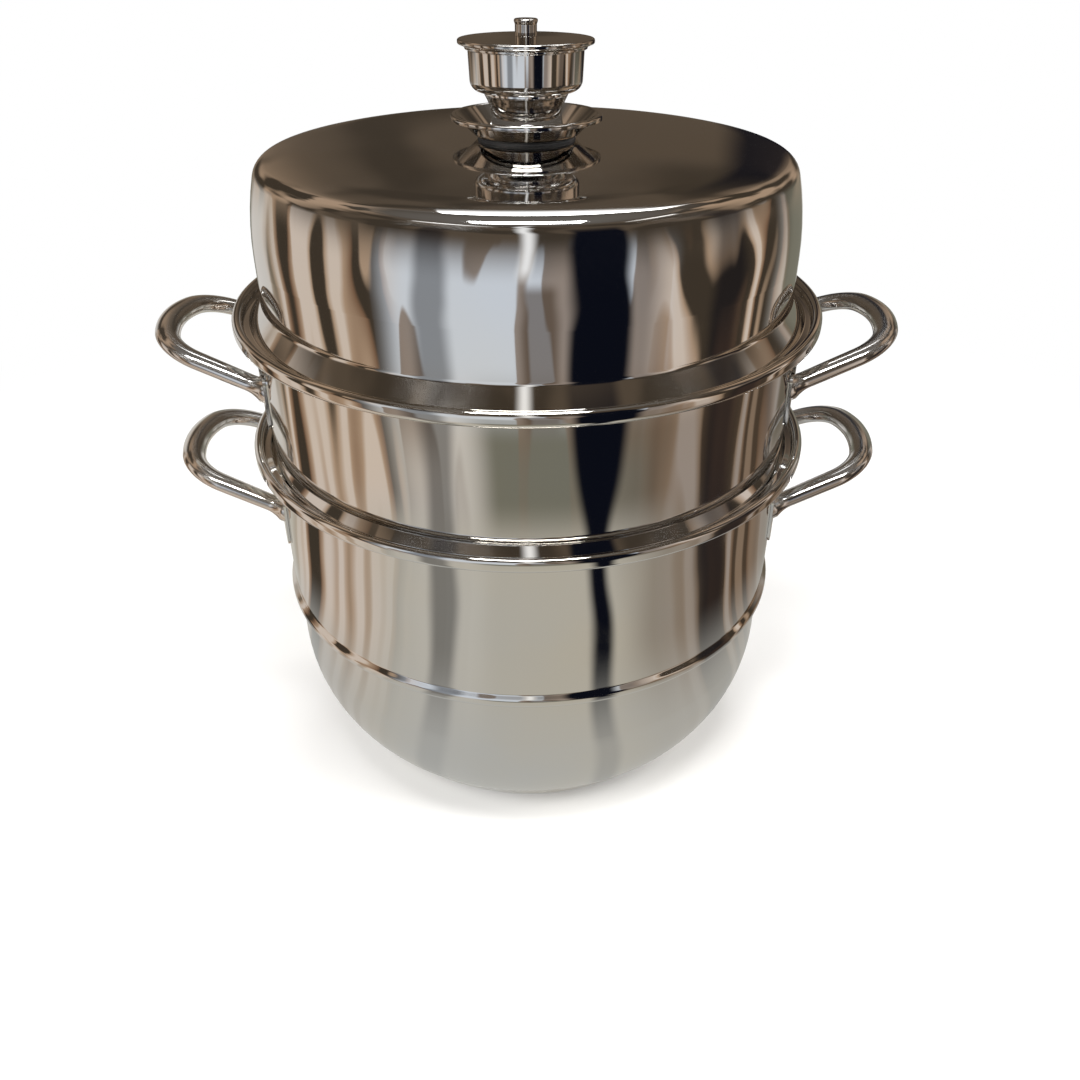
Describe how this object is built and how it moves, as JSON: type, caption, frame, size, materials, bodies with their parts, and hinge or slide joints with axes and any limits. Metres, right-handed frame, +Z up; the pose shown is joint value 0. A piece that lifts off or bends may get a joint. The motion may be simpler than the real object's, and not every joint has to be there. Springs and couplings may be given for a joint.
{
  "type": "steamer pot",
  "caption": "Stacking steel steamer pot: a deep round-bottomed pot and a steamer tier with steam plates, tube loop handles and a tall lid with a turned knob.",
  "frame": {"origin": "middle of the base, on the table", "axes": "+Z up along the pot's axis, X through the handles, -Y towards the front"},
  "size_m": [0.4436, 0.345, 0.4427],
  "materials": {
    "polished_steel": "polished",
    "handle_steel": "polished",
    "plate_steel": "satin",
    "core_aluminium": "satin",
    "silicone": "matte",
    "screw_steel": "satin"
  },
  "bodies": {
    "pot": {"pot_shell": "polished_steel", "base_core": "core_aluminium", "base_cap": "polished_steel", "pot_handle_right": "handle_steel", "pot_handle_right_pads": "handle_steel", "pot_handle_left": "handle_steel", "pot_handle_left_pads": "handle_steel"},
    "pot_plate": {"pot_plate": "plate_steel"},
    "steamer": {"steamer_shell": "polished_steel", "steamer_handle_right": "handle_steel", "steamer_handle_right_pads": "handle_steel", "steamer_handle_left": "handle_steel", "steamer_handle_left_pads": "handle_steel"},
    "steamer_plate": {"steamer_plate": "plate_steel"},
    "lid": {"lid_shell": "polished_steel", "knob_gasket": "silicone", "knob_saucer": "polished_steel", "knob_neck": "polished_steel", "knob_cup": "polished_steel", "knob_cap": "polished_steel", "knob_finial": "polished_steel", "knob_washer": "screw_steel", "knob_screw": "screw_steel"}
  },
  "joints": [
    {"name": "steamer_lift", "type": "slide", "parent": "pot", "child": "steamer", "axis": [0, 0, 1], "range_m": [0, 0.12]},
    {"name": "lid_lift", "type": "slide", "parent": "steamer", "child": "lid", "axis": [0, 0, 1], "range_m": [0, 0.15]},
    {"name": "steamer_plate_lift", "type": "slide", "parent": "steamer", "child": "steamer_plate", "axis": [0, 0, 1], "range_m": [0, 0.06]},
    {"name": "pot_plate_lift", "type": "slide", "parent": "pot", "child": "pot_plate", "axis": [0, 0, 1], "range_m": [0, 0.09]}
  ]
}
